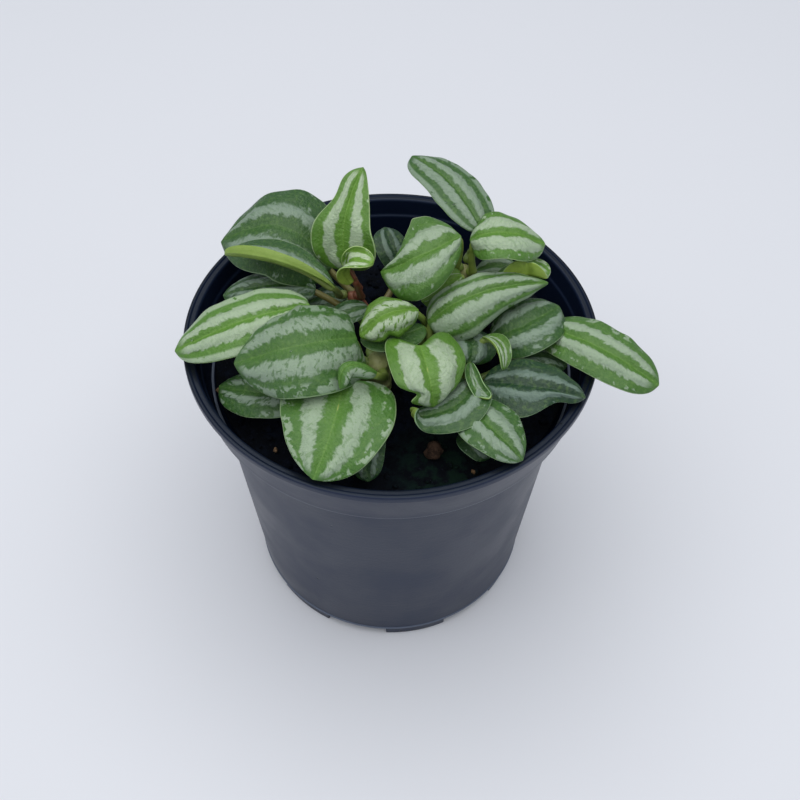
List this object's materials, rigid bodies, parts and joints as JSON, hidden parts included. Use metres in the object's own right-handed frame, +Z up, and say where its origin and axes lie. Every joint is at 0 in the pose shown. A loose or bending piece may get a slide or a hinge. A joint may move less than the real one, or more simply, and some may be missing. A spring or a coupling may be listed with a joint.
{
  "type": "potted peperomia",
  "caption": "Small peperomia with silver-striped green leaves on short stems, growing in peat in a tapered black nursery pot with a stepped collar.",
  "frame": {"origin": "centre of the pot's flat bottom, on the surface that it stands on", "axes": "+Z up along the pot's axis, -Y towards the side with the broad drooping leaf, +X to the right of that side"},
  "size_m": [0.1155, 0.104, 0.121],
  "materials": {
    "pot_plastic": "satin",
    "peat": "matte",
    "bark": "matte",
    "pumice": "matte",
    "green_stem": "satin",
    "red_stem": "satin",
    "leaf": "satin",
    "leaf_shade": "satin"
  },
  "bodies": {
    "root": {"pot": "pot_plastic", "soil": "peat", "bark_crumb_left": "bark", "bark_crumb_left_low": "bark", "pumice_crumb_front_left": "pumice", "bark_piece_front": "bark", "bark_crumb_front_right": "bark", "bark_crumb_back": "bark", "stem_main": "green_stem", "stem_left": "red_stem", "stem_tall": "green_stem", "stem_right": "green_stem", "stem_front": "green_stem", "leaf_back_left_broad": "leaf_shade", "leaf_back_upright": "leaf", "leaf_left_folded": "leaf", "leaf_left_mottled": "leaf_shade", "leaf_left_long": "leaf", "leaf_left_domed": "leaf", "leaf_left_low": "leaf_shade", "leaf_front_broad": "leaf", "leaf_young_rolled": "leaf", "leaf_centre_hood": "leaf", "leaf_centre_under": "leaf", "leaf_centre_heart": "leaf", "leaf_front_hooked": "leaf", "leaf_front_right": "leaf", "leaf_curl_low": "leaf_shade", "leaf_curl_high": "leaf", "leaf_right_low": "leaf_shade", "leaf_right_mid": "leaf_shade", "leaf_right_long": "leaf", "leaf_centre_long": "leaf", "leaf_centre_lower": "leaf_shade", "leaf_top_left": "leaf", "leaf_top_right": "leaf", "leaf_top_back": "leaf", "leaf_back_small": "leaf_shade", "leaf_young_back": "leaf", "leaf_shaded_left": "leaf_shade", "leaf_shaded_centre": "leaf_shade", "leaf_front_dewy": "leaf_shade", "leaf_shaded_back_right": "leaf_shade", "leaf_silver_back_right": "leaf", "leaf_olive_centre": "leaf", "leaf_shaded_right": "leaf_shade", "leaf_shaded_inner": "leaf_shade", "leaf_shaded_front": "leaf_shade"}
  },
  "joints": []
}
